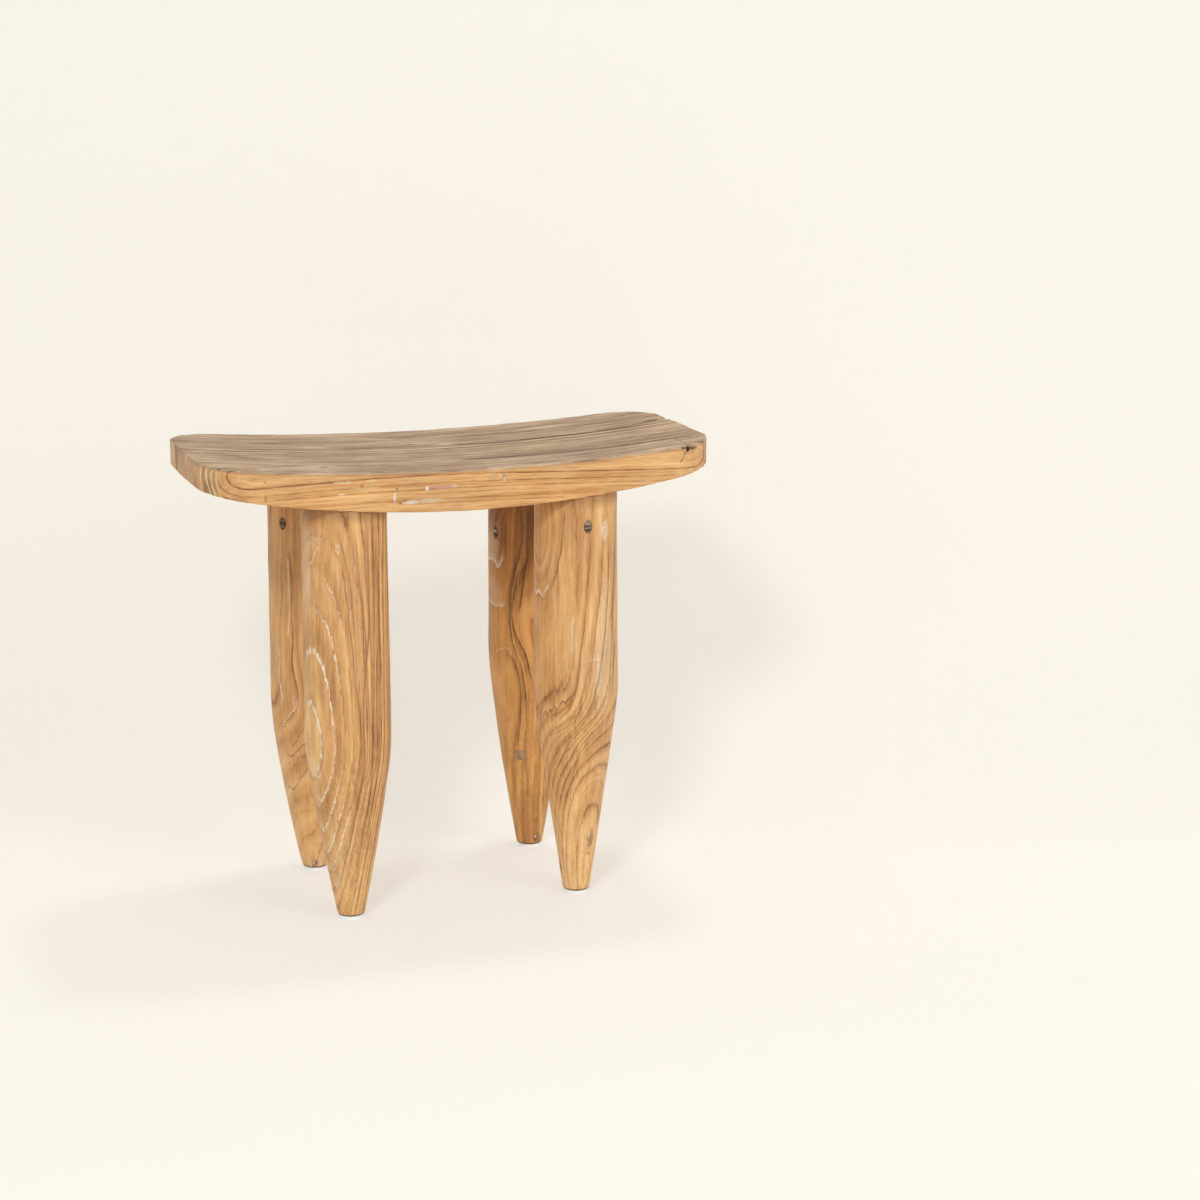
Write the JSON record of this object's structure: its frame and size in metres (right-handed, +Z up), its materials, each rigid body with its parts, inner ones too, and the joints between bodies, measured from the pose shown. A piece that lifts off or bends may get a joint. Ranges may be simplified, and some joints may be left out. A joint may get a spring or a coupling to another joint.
{
  "type": "wooden stool",
  "caption": "Long wooden stool with a dished, round-cornered seat of glued boards on thick round legs that taper to small feet with plastic glides.",
  "frame": {"origin": "on the floor under the middle of the seat, in the plane of the four glides", "axes": "+X along the seat, +Y from the front edge to the rear edge, +Z up; the front legs are the two that stand nearer the camera in the picture"},
  "size_m": [0.5, 0.238, 0.4474],
  "materials": {
    "seat_wood": "sanded, waxed, weathered grey-brown on top",
    "leg_wood": "sanded, waxed, chalky residue in the grain",
    "dowel_wood": "plain, glued",
    "plug_wood": "greyed, cut flush",
    "patch_wood": "greyed, cut flush",
    "plated_steel": "zinc plated",
    "glide_plastic": "matt white"
  },
  "bodies": {
    "root": {"seat_board_front": "seat_wood", "seat_board_middle": "seat_wood", "seat_board_rear": "seat_wood", "leg_front_left": "leg_wood", "leg_front_right": "leg_wood", "leg_rear_left": "leg_wood", "leg_rear_right": "leg_wood", "edge_dowel_front_1": "dowel_wood", "edge_dowel_front_2": "dowel_wood", "edge_dowel_front_3": "dowel_wood", "edge_dowel_front_4": "dowel_wood", "edge_dowel_rear_1": "dowel_wood", "edge_dowel_rear_2": "dowel_wood", "edge_dowel_rear_3": "dowel_wood", "edge_dowel_rear_4": "dowel_wood", "dowel_front_left_a": "dowel_wood", "dowel_front_left_b": "dowel_wood", "dowel_front_right_a": "dowel_wood", "dowel_front_right_b": "dowel_wood", "dowel_rear_left_a": "dowel_wood", "dowel_rear_left_b": "dowel_wood", "dowel_rear_right_a": "dowel_wood", "dowel_rear_right_b": "dowel_wood", "leg_screw_front_left": "plated_steel", "leg_screw_front_right": "plated_steel", "leg_screw_rear_left": "plated_steel", "leg_screw_rear_right": "plated_steel", "plug_front_left": "plug_wood", "plug_front_right": "plug_wood", "plug_rear_left": "plug_wood", "plug_rear_right": "plug_wood", "foot_glide_front_left": "glide_plastic", "foot_glide_front_right": "glide_plastic", "foot_glide_rear_left": "glide_plastic", "foot_glide_rear_right": "glide_plastic", "glide_nail_front_left": "plated_steel", "glide_nail_front_right": "plated_steel", "glide_nail_rear_left": "plated_steel", "glide_nail_rear_right": "plated_steel", "repair_patch": "patch_wood"}
  },
  "joints": []
}
